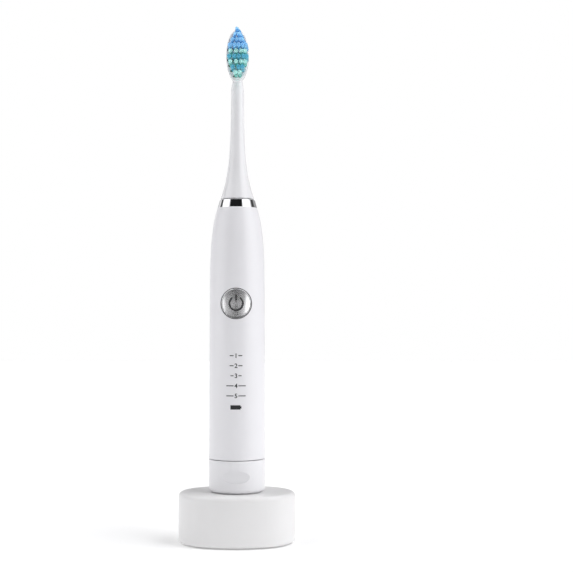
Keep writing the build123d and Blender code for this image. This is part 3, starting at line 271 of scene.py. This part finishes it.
def roughen(tree, shader, height, depth, strength=0.5):
    # a height of 0 to 1 becomes dents as deep as depth, in millimetres
    bump = tree.nodes.new("ShaderNodeBump")
    bump.inputs["Distance"].default_value = depth * mm
    bump.inputs["Strength"].default_value = strength
    wire(tree, (height, bump.inputs["Height"]), (bump.outputs[0], shader.inputs["Normal"]))


skin = {"mottle": 9.0, "sheen": 3.0, "grainDetail": 3.0}  # size of the mottling and of the uneven sheen


def moulded(name, colour, roughness, grain=0.25, depth=0.004, mottle=0.015, swing=0.04, **sockets):
    # a plastic or rubber skin: fine spark-eroded grain, faint mottling and uneven sheen
    material, tree, shader = newFinish(name, colour, roughness, **sockets)
    cloud = tint(tree, spots(tree, skin["mottle"]), shaded(colour, 1 - mottle), shaded(colour, 1 + mottle))
    sheen = spread(tree, spots(tree, skin["sheen"]), roughness - swing, roughness + swing)
    wire(tree, (cloud, shader.inputs["Base Color"]), (sheen, shader.inputs["Roughness"]))
    roughen(tree, shader, spots(tree, grain, skin["grainDetail"]), depth)
    return material


drawnLines = {"detail": 4.0, "gain": 0.6, "darkest": 0.9, "smoothest": 0.8, "roughest": 1.25, "strength": 0.4}


def drawn(name, colour, roughness, streak=(1, 1, 0.02), grain=0.3, depth=0.003, **sockets):
    # bare metal with fine drawn lines along one direction
    material, tree, shader = newFinish(name, colour, roughness, 1.0, **sockets)
    look = drawnLines
    lines = spots(tree, grain, look["detail"], look["gain"], streak)
    sheen = spread(tree, lines, roughness * look["smoothest"], roughness * look["roughest"])
    wire(
        tree,
        (tint(tree, lines, shaded(colour, look["darkest"]), colour), shader.inputs["Base Color"]),
        (sheen, shader.inputs["Roughness"]),
    )
    roughen(tree, shader, lines, depth, look["strength"])
    return material


enamelWire = {"roughness": 0.3, "metallic": 0.8, "darkest": 0.35, "depthShare": 0.4}


def wound(name, colour, pitch):
    # turns of enamelled wire one above another: a sine of the height, one wave for each turn; the colour
    # darkens towards the grooves between turns as painted shade, and the same wave dents the surface
    material, tree, shader = newFinish(name, colour, enamelWire["roughness"], enamelWire["metallic"])
    phase = mathNode(tree, "MULTIPLY", objectPlace(tree)[1]["Z"], 2 * math.pi / (pitch * mm))
    level = mathNode(tree, "MULTIPLY_ADD", mathNode(tree, "SINE", phase), 0.5, 0.5)
    # painted shade: the colour drops to its darkest share in the grooves between the turns
    between = tint(tree, level, shaded(colour, enamelWire["darkest"]), colour)
    wire(tree, (between, shader.inputs["Base Color"]))
    roughen(tree, shader, level, pitch * enamelWire["depthShare"])
    return material


spun = {
    "drawnOut": 0.75,  # how far the shine is drawn out across the lathe lines
    "line": 0.22,
    "detail": 5.0,
    "gain": 0.7,
    "darkest": 0.72,
    "smoothest": 0.75,
    "roughest": 1.3,
    "depth": 0.012,
}


def spunMetal(name, colour, roughness, centreZ):
    # lathe lines are noise of the distance from the button's middle, and the tangent runs along their circles
    material, tree, shader = newFinish(name, colour, roughness, 1.0, Anisotropic=spun["drawnOut"])
    place = objectPlace(tree)[1]
    across, up = place["X"], mathNode(tree, "SUBTRACT", place["Z"], centreZ * mm)
    squares = [mathNode(tree, "POWER", value, 2.0) for value in (across, up)]
    radius = mathNode(tree, "SQRT", mathNode(tree, "ADD", *squares))
    along, ring = tree.nodes.new("ShaderNodeCombineXYZ"), tree.nodes.new("ShaderNodeCombineXYZ")
    wire(
        tree,
        (up, along.inputs["X"]),
        (mathNode(tree, "MULTIPLY", across, -1.0), along.inputs["Z"]),
        (along.outputs[0], shader.inputs["Tangent"]),
        (radius, ring.inputs["X"]),
    )
    lines = spots(tree, spun["line"], spun["detail"], spun["gain"], place=ring.outputs[0])
    sheen = spread(tree, lines, roughness * spun["smoothest"], roughness * spun["roughest"])
    wire(
        tree,
        (tint(tree, lines, shaded(colour, spun["darkest"]), colour), shader.inputs["Base Color"]),
        (sheen, shader.inputs["Roughness"]),
    )
    roughen(tree, shader, lines, spun["depth"])
    return material


bristleNylon = {
    "roughness": 0.28,
    "dimmest": 0.82,  # brightness of the dullest and of the brightest bristle
    "brightest": 1.18,
    "paintedGlow": 0.16,  # painted glow in the bristles' own colour, standing in for light that comes through the nylon
}


def nylon(name, root, tip, rootY, tipY):
    # deep colour at the root, paler towards the cut ends, and the paler ends are partly painted light for
    # tips that catch more light; each bristle a little lighter or darker
    material, tree, shader = newFinish(name, tip, bristleNylon["roughness"])
    own, depth = tree.nodes.new("ShaderNodeAttribute"), tree.nodes.new("ShaderNodeMapRange")
    vary = tree.nodes.new("ShaderNodeHueSaturation")
    own.attribute_name = "shade"
    depth.inputs["From Min"].default_value, depth.inputs["From Max"].default_value = rootY * mm, tipY * mm
    level = spread(tree, own.outputs["Fac"], bristleNylon["dimmest"], bristleNylon["brightest"])
    wire(
        tree,
        (objectPlace(tree)[1]["Y"], depth.inputs["Value"]),
        # painted highlight, in part: the blend to the pale tip colour brightens the cut ends as if lit
        (tint(tree, depth.outputs[0], root, tip), vary.inputs["Color"]),
        (level, vary.inputs["Value"]),
        (vary.outputs[0], shader.inputs["Base Color"]),
        (vary.outputs[0], shader.inputs["Emission Color"]),
    )
    # painted glow: emission in the bristles' colour stands in for light coming through the nylon
    shader.inputs["Emission Strength"].default_value = bristleNylon["paintedGlow"]
    return material


lacquer = {"Coat Weight": 0.15, "Coat Roughness": 0.2}
mirror = {"Metallic": 1.0}
finishes = {
    "handle_satin_white": moulded("satinWhite", (0.79, 0.785, 0.81), 0.34, **lacquer),
    "cap_satin_white": moulded("capSatinWhite", (0.79, 0.787, 0.807), 0.34, **lacquer),
    "charger_white": moulded("chargerWhite", (0.79, 0.785, 0.787), 0.38, grain=0.3, depth=0.006),
    "charger_underside": moulded("chargerUnderside", (0.72, 0.72, 0.72), 0.55, grain=0.4, depth=0.01),
    "head_gloss_white": moulded(
        "headGlossWhite", (0.8, 0.798, 0.815), 0.1, grain=1.2, depth=0.002, swing=0.02
    ),
    "collar_chrome": moulded(
        "collarChrome", (0.86, 0.86, 0.87), 0.05, grain=2.0, depth=0.001, swing=0.015, **mirror
    ),
    "bezel_chrome": moulded(
        "bezelChrome", (0.88, 0.88, 0.89), 0.1, grain=1.0, depth=0.001, swing=0.02, **mirror
    ),
    "button_metal": spunMetal("spunMetal", (0.9, 0.9, 0.91), 0.24, buttonZ),
    "grey_rubber": moulded("greyRubber", (0.2, 0.2, 0.205), 0.6, grain=0.3, depth=0.02),
    "white_rubber": moulded("whiteRubber", (0.66, 0.66, 0.66), 0.55, grain=0.3, depth=0.02),
    "black_rubber": moulded("blackRubber", (0.02, 0.02, 0.021), 0.5, grain=0.3, depth=0.02),
    "bobbin_plastic": moulded("bobbinPlastic", (0.62, 0.59, 0.5), 0.45),
    "circuit_board": moulded("circuitBoard", (0.02, 0.12, 0.05), 0.35, grain=0.6, depth=0.02, mottle=0.2),
    "dark_components": moulded("darkComponents", (0.02, 0.02, 0.022), 0.5),
    "dark_plastic": moulded("darkPlastic", (0.025, 0.025, 0.028), 0.5),
    "frame_plastic": moulded("framePlastic", (0.09, 0.095, 0.1), 0.5),
    "plunger_plastic": moulded("plungerPlastic", (0.5, 0.05, 0.03), 0.35),
    "lamp_lens": moulded("lampLens", (0.85, 0.85, 0.75), 0.15),
    "cell_sleeve": moulded("cellSleeve", (0.03, 0.11, 0.32), 0.25),
    "lead_insulation": moulded("leadInsulation", (0.45, 0.02, 0.015), 0.4),
    "ferrite": moulded("ferrite", (0.03, 0.03, 0.032), 0.6, grain=0.4, depth=0.03, mottle=0.2),
    "magnet": drawn("magnet", (0.5, 0.5, 0.52), 0.3),
    "copper_winding": wound("copperWinding", (0.72, 0.3, 0.12), 0.35),
    "laminated_steel": drawn("laminatedSteel", (0.3, 0.3, 0.32), 0.4, streak=(0.02, 0.02, 1)),
    "bearing_bronze": drawn("bearingBronze", (0.6, 0.38, 0.16), 0.4),
    "motor_steel": drawn("motorSteel", (0.6, 0.61, 0.62), 0.3),
    "shaft_steel": drawn("shaftSteel", (0.66, 0.67, 0.68), 0.2, streak=(0.05, 0.05, 1)),
    "screw_steel": drawn("screwSteel", (0.58, 0.59, 0.6), 0.3),
    "nickel": drawn("nickel", (0.66, 0.64, 0.58), 0.3),
    "anchor_brass": drawn("anchorBrass", (0.7, 0.5, 0.2), 0.3),
}
markInk = moulded("markInk", (0.012, 0.012, 0.013), 0.4, grain=0.5, depth=0.002)
symbolEnamel = moulded("symbolEnamel", (0.035, 0.035, 0.037), 0.35, grain=0.4, depth=0.004)

for part in frame["record"]["subparts"]:
    finish = finishes.get(part["material_slot"])
    if finish is not None:
        node = nodes[part["node"]]
        node.data.materials.clear()
        node.data.materials.append(finish)
print("finishes on the CAD parts")


# meshes

def addPiece(name, points, groups, material, body, slot, standsFor=(), smooth=True, shade=None):
    # groups holds face arrays, one array for each number of corners
    mesh = bpy.data.meshes.new(name)
    points = np.asarray(points, float).reshape(-1, 3) * mm
    loops = np.concatenate([g.ravel() for g in groups])
    totals = np.concatenate([np.full(len(g), g.shape[1]) for g in groups])
    mesh.vertices.add(len(points))
    mesh.vertices.foreach_set("co", points.ravel().astype(np.float32))
    mesh.loops.add(len(loops))
    mesh.loops.foreach_set("vertex_index", loops.astype(np.int32))
    mesh.polygons.add(len(totals))
    mesh.polygons.foreach_set("loop_start", np.concatenate([[0], np.cumsum(totals)[:-1]]).astype(np.int32))
    mesh.polygons.foreach_set("loop_total", totals.astype(np.int32))
    mesh.polygons.foreach_set("use_smooth", np.full(len(totals), smooth))
    mesh.update(calc_edges=True)
    mesh.validate()
    if shade is not None:
        mesh.attributes.new("shade", "FLOAT", "POINT").data.foreach_set("value", shade.astype(np.float32))
    mesh.materials.append(material)
    piece = bpy.data.objects.new(name, mesh)
    bpy.context.scene.collection.objects.link(piece)
    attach(piece, body)
    if standsFor:
        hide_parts(*standsFor)


def ringFaces(rows, columns, closeRows=False):
    # quads between neighbouring rings of a grid; the columns always close on themselves
    last = rows if closeRows else rows - 1
    r, c = np.meshgrid(np.arange(last), np.arange(columns), indexing="ij")
    here, above, beside = r * columns, (r + 1) % rows * columns, (c + 1) % columns
    return np.stack([here + c, here + beside, above + beside, above + c], -1).reshape(-1, 4)


# bristles: every tuft is a bundle of fine round-ended bristles set in a spiral that fills the hole evenly

tuft = {
    "bristles": 64,
    "holeRadius": 0.76,
    "thickness": 0.088,  # radius of one bristle
    "sides": 6,
    "splay": 0.3,  # how far the outer bristles lean out at the tip
    "dome": 0.35,  # how much shorter the outer bristles are
    "jitter": 0.07,
    "uneven": (-0.16, 0.1),  # change of length from one bristle to the next
    "shade": (0.5, 0.22),  # middle and spread of the bristles' brightness
    "rings": [0.0, 0.45, 0.8, 1.0, 1.0, 1.0],  # share of the length at each ring of a bristle
    "past": [0.0, 0.0, 0.0, 0.0, 0.55, 0.9],  # how far past its end the ring is, in bristle radii
    "girth": [1.0, 1.0, 1.0, 1.0, 0.78, 0.32],  # and the ring's own radius, so that the end is round
    "rootY": -2.3,  # behind the head's face, so that the roots stand in the holes
    "rodRadius": 0.8,
    "near": 0.05,  # slack when one rod is told from the next
    "seed": 7,
}
goldenAngle = math.radians(137.508)


def tuftPlaces(node):
    # the middle of each rod of a bristle node: vertices grouped by the hole they stand in
    mesh = nodes[node].data
    flat = np.zeros(len(mesh.vertices) * 3, np.float32)
    mesh.vertices.foreach_get("co", flat)
    points = flat.reshape(-1, 3) / mm
    ends = points[points[:, 1] > points[:, 1].max() - tuft["near"]][:, [0, 2]]
    places = []
    while len(ends):
        near = np.linalg.norm(ends - ends[0], axis=1) < 2 * tuft["rodRadius"] + tuft["near"]
        places.append((ends[near].min(0) + ends[near].max(0)) / 2)
        ends = ends[~near]
    return np.array(sorted(map(tuple, places))), points[:, 1].min()


def makeTufts(name, node, slot, lean=None):
    # a bristle's middle line is its root plus its drift times the square of t, and its depth grows with t;
    # rings of points stand round that line, and the last ones shrink to a round end
    rng = np.random.default_rng(tuft["seed"])
    places, tipY = tuftPlaces(node)
    count, sides = tuft["bristles"], tuft["sides"]
    k = np.arange(count)
    spiral = np.sqrt((k + 0.5) / count) * tuft["holeRadius"]
    angle = k * goldenAngle
    offset = np.stack([spiral * np.cos(angle), spiral * np.sin(angle)], -1)
    root = (places[:, None, :] + offset[None]).reshape(-1, 2)
    outward = np.tile(offset / tuft["holeRadius"], (len(places), 1))
    total = len(root)
    length = tuft["rootY"] - tipY - tuft["dome"] * (outward**2).sum(1) + rng.uniform(*tuft["uneven"], total)
    drift = outward * tuft["splay"] + rng.normal(0, tuft["jitter"], (total, 2))
    if lean is not None:
        shift, gather = lean(places)
        drift = drift + np.repeat(shift, count, axis=0) - outward * np.repeat(gather, count)[:, None]
    t, past, girth = (np.array(tuft[key]) for key in ("rings", "past", "girth"))
    turn = np.arange(sides) * 2 * math.pi / sides
    circle = np.stack([np.cos(turn), np.sin(turn)], -1) * tuft["thickness"]
    plane = (
        root[:, None, None, :]
        + drift[:, None, None, :] * (t**2)[None, :, None, None]
        + circle[None, None] * girth[None, :, None, None]
    )
    depth = tuft["rootY"] - length[:, None] * t[None] - past[None] * tuft["thickness"]
    points = np.empty((total, len(t), sides, 3))
    points[..., 0], points[..., 2] = plane[..., 0], plane[..., 1]
    points[..., 1] = depth[:, :, None]
    rings = len(t)
    quads = ringFaces(rings, sides)[:, ::-1]
    step = rings * sides
    starts = np.arange(total)[:, None, None] * step
    walls = (quads[None] + starts).reshape(-1, 4)
    tipCap = (np.arange(sides)[::-1] + (rings - 1) * sides)[None] + np.arange(total)[:, None] * step
    rootCap = np.arange(sides)[None] + np.arange(total)[:, None] * step
    shade = np.repeat(np.clip(rng.normal(*tuft["shade"], total), 0, 1), step)
    addPiece(name, points, [walls, tipCap, rootCap], finishes[slot], "brush_head", slot, [node], shade=shade)


tipLean = {
    "inward": (0.1, 0.62),  # share of its x that a tuft's end moves in: lowest row, and what the top row adds
    "upward": (0.1, 0.36),  # how far a tuft's end moves up, likewise
    "gather": 0.75,  # how much the splay shrinks at the top row
}


def leanToTip(places):
    # the tip tufts draw together and up, and the last ones close to a point
    z = places[:, 1]
    rise = (z - z.min()) / (z.max() - z.min())
    (inward, moreInward), (upward, moreUpward) = tipLean["inward"], tipLean["upward"]
    shift = np.stack([-places[:, 0] * (inward + moreInward * rise), upward + moreUpward * rise], -1)
    return shift, tipLean["gather"] * rise


# root colour, tip colour, and the y at which the blend between them starts and ends; the pale tip colours are
# partly painted light for brighter lit cut ends
finishes["bristle_mint"] = nylon("mintNylon", (0.16, 0.56, 0.5), (0.66, 0.94, 0.92), -11.0, -13.2)
finishes["bristle_blue"] = nylon("blueNylon", (0.08, 0.44, 0.56), (0.18, 0.58, 0.74), -10.0, -13.2)
finishes["bristle_tip_blue"] = nylon("tipNylon", (0.12, 0.42, 0.74), (0.36, 0.68, 0.92), -9.0, -14.2)
makeTufts("mintTufts", "bristles_mint", "bristle_mint")
makeTufts("blueTufts", "bristles_blue", "bristle_blue")
makeTufts("tipTufts", "bristles_tip", "bristle_tip_blue", leanToTip)
print("bristles set")


# button surround: a bright bevelled ring inside a black ring that is painted shadow in the gap round the
# button, both following the handle's curve

bezel = {
    "ring": [  # radius from the button's middle, and height off the skin, round the section
        (6.92, -2.4), (7.34, -2.4), (7.36, -0.2), (7.33, 0.02),
        (7.26, 0.1), (7.16, 0.1), (7.02, -0.06), (6.92, -0.24),
    ],
    # painted shadow: a black rubber ring set in the gap round the button, where there is only shade
    "shadowRing": [(7.38, -2.4), (7.66, -2.4), (7.66, -0.34), (7.58, -0.26), (7.46, -0.26), (7.38, -0.34)],
    "steps": 144,
}


def ringOnHandle(section):
    # each point of the section turns about the button's axis, then drops on to the handle's round skin: its
    # depth is the root of the squared reach less the squared x
    section = np.array(section)
    angle = np.arange(bezel["steps"]) * 2 * math.pi / bezel["steps"]
    radius, height = section[:, 0][:, None], section[:, 1][:, None]
    x, z = radius * np.cos(angle), radius * np.sin(angle)
    reach = handle["waistRadius"] + height
    return np.stack([x, -np.sqrt(reach**2 - x**2), buttonZ + z], -1)


for name, section, slot, standsFor in (
    ("bezelRing", bezel["ring"], "bezel_chrome", ["button_bezel"]),
    # the black ring is painted shadow for the gap round the button
    ("buttonShadowRing", bezel["shadowRing"], "black_rubber", []),
):
    faces = ringFaces(len(section), bezel["steps"], closeRows=True)
    addPiece(name, ringOnHandle(section[::-1]), [faces], finishes[slot], "handle", slot, standsFor)
print("button surround set")


# power symbol: enamel laid in the button's engraved groove

symbol = {
    "radius": 3.3,
    "stroke": 0.86,
    "gap": 40.0,  # degrees left open on each side of the top
    "barLow": 1.52,
    "barHigh": 4.38,
    "lift": -0.09,  # the enamel's face and floor, measured from the button's skin
    "sink": -0.28,
    "arcSteps": 72,
    "barSteps": 6,
}


def onButton(outline, height):
    # a point straight in front of the button drops on to its round face: its depth is the root of the squared
    # reach less the squared x
    reach = handle["waistRadius"] + height
    return np.stack([outline[:, 0], -np.sqrt(reach**2 - outline[:, 0] ** 2), buttonZ + outline[:, 1]], -1)


ribbon = {"across": [-1.0, -0.33, 0.33, 1.0], "narrowest": 0.02}


def band(spine, side, low, high, place):
    # each row crosses the spine from one side to the other at the top and comes back underneath, and the rows
    # are joined along the spine, so that the band bends with the skin it is placed on
    across = ribbon["across"]
    top = np.stack([place(spine + side * a, high) for a in across], 1)
    under = np.stack([place(spine + side * a, low) for a in across[::-1]], 1)
    loop = np.concatenate([top, under], 1)
    rows, columns = loop.shape[:2]
    ends = [np.arange(columns)[None, ::-1], (rows - 1) * columns + np.arange(columns)[None]]
    return loop, [ringFaces(rows, columns), *ends]


def stroke(path, width, low, high, place, steps=8):
    # a band along a path; past each end it narrows as a quarter of a circle does, so that the ends are round
    along = np.gradient(path, axis=0)
    along /= np.linalg.norm(along, axis=1)[:, None]
    turn = np.linspace(0, math.pi / 2, steps + 1)
    lead = path[0] - along[0] * (width / 2) * np.cos(turn[:-1])[:, None]
    tail = path[-1] + along[-1] * (width / 2) * np.sin(turn[1:])[:, None]
    spine = np.concatenate([lead, path, tail])
    girth = np.concatenate([np.sin(turn[:-1]), np.ones(len(path)), np.cos(turn[1:])])
    girth = np.maximum(girth, ribbon["narrowest"])
    heading = np.concatenate([np.repeat(along[:1], steps, 0), along, np.repeat(along[-1:], steps, 0)])
    side = np.stack([-heading[:, 1], heading[:, 0]], -1) * (width / 2) * girth[:, None]
    return band(spine, side, low, high, place)


def joinSolids(solids):
    # the points of all solids in one list, and their faces counted on from it
    points, groups, start = [], [], 0
    for grid, faces in solids:
        flat = np.asarray(grid).reshape(-1, 3)
        points.append(flat)
        groups += [g + start for g in faces]
        start += len(flat)
    return np.concatenate(points), groups


def makeSymbol():
    arc = np.radians(np.linspace(90 + symbol["gap"], 450 - symbol["gap"], symbol["arcSteps"]))
    ringPath = np.stack([np.cos(arc), np.sin(arc)], -1) * symbol["radius"]
    inset = symbol["stroke"] / 2
    rise = np.linspace(symbol["barLow"] + inset, symbol["barHigh"] - inset, symbol["barSteps"])
    barPath = np.stack([np.zeros(len(rise)), rise], -1)
    size = symbol["stroke"], symbol["sink"], symbol["lift"]
    solids = [stroke(path, *size, onButton) for path in (ringPath, barPath)]
    addPiece("powerMark", *joinSolids(solids), symbolEnamel, "power_button", "dark_plastic")


makeSymbol()
print("power symbol set")


# printed marks: numerals between dashes, and a battery, wrapped on the handle

marks = {
    "height": 2.2,
    "heightShare": 0.72,  # a numeral's height as a share of its font's size
    "boldness": 0.05,
    "smoothness": 6,
    "levels": [92.8, 87.9, 83.0, 78.1, 73.2],
    "halfWidths": [3.15, 3.2, 2.8, 4.9, 4.85],  # from the middle to the outer end of the dashes
    "dash": 0.42,
    "dashSteps": 8,
    "dashEndSteps": 4,
    "gap": 1.35,  # from the middle to the inner end of the dashes
    "batteryZ": 67.6,
    "batteryWidth": 4.9,
    "batteryHeight": 2.1,
    "batterySteps": 12,
    "nub": 0.5,
    "seam": 0.001,  # what keeps the battery and its nub from touching
    "thickness": 0.03,
}


def numeral(digit):
    # a flat digit made a mesh about its own middle, with front and back on either side of zero
    curve = bpy.data.curves.new("numeral", "FONT")
    curve.body = str(digit)
    curve.size = marks["height"] / marks["heightShare"]
    curve.align_x, curve.align_y = "CENTER", "CENTER"
    curve.extrude = 0.5
    curve.offset = marks["boldness"]
    curve.resolution_u = marks["smoothness"]
    holder = bpy.data.objects.new("numeral", curve)
    bpy.context.scene.collection.objects.link(holder)
    bpy.context.view_layer.update()
    mesh = bpy.data.meshes.new_from_object(holder.evaluated_get(bpy.context.evaluated_depsgraph_get()))
    flat = np.zeros(len(mesh.vertices) * 3, np.float32)
    loops = np.zeros(len(mesh.loops), np.int32)
    starts, totals = np.zeros(len(mesh.polygons), np.int32), np.zeros(len(mesh.polygons), np.int32)
    mesh.vertices.foreach_get("co", flat)
    mesh.loops.foreach_get("vertex_index", loops)
    mesh.polygons.foreach_get("loop_start", starts)
    mesh.polygons.foreach_get("loop_total", totals)
    bpy.data.objects.remove(holder)
    bpy.data.meshes.remove(mesh)
    points = flat.reshape(-1, 3).astype(float)
    points[:, :2] -= (points[:, :2].min(0) + points[:, :2].max(0)) / 2
    return points, [loops[starts[totals == n][:, None] + np.arange(n)] for n in np.unique(totals)]


def makeMarks():
    # each mark is drawn flat, with x across the handle and z up it, then wrapped on the skin
    lift, middle = marks["thickness"], marks["batteryZ"]
    solids = []
    for digit, (z, half) in enumerate(zip(marks["levels"], marks["halfWidths"]), 1):
        flat, groups = numeral(digit)
        solids.append((wrapOnHandle(flat[:, :2] + [0, z], np.where(flat[:, 2] > 0, lift, -lift)), groups))
        for side in (-1, 1):
            run = np.linspace(side * marks["gap"], side * (half - marks["dash"] / 2), marks["dashSteps"])
            path = np.stack([run, np.full(len(run), z)], -1)
            solids.append(stroke(path, marks["dash"], -lift, lift, wrapOnHandle, marks["dashEndSteps"]))
    left = -(marks["batteryWidth"] + marks["nub"]) / 2
    right = left + marks["batteryWidth"]
    tall = marks["batteryHeight"]
    for start, end, half in ((left, right, tall / 2), (right, right + marks["nub"], tall / 4)):
        run = np.linspace(start + marks["seam"], end - marks["seam"], marks["batterySteps"])
        path = np.stack([run, np.full(len(run), middle)], -1)
        solids.append(band(path, np.array([0.0, half]), -lift, lift, wrapOnHandle))
    addPiece("printedMarks", *joinSolids(solids), markInk, "handle", "dark_plastic", smooth=False)


makeMarks()
print("printed marks set")
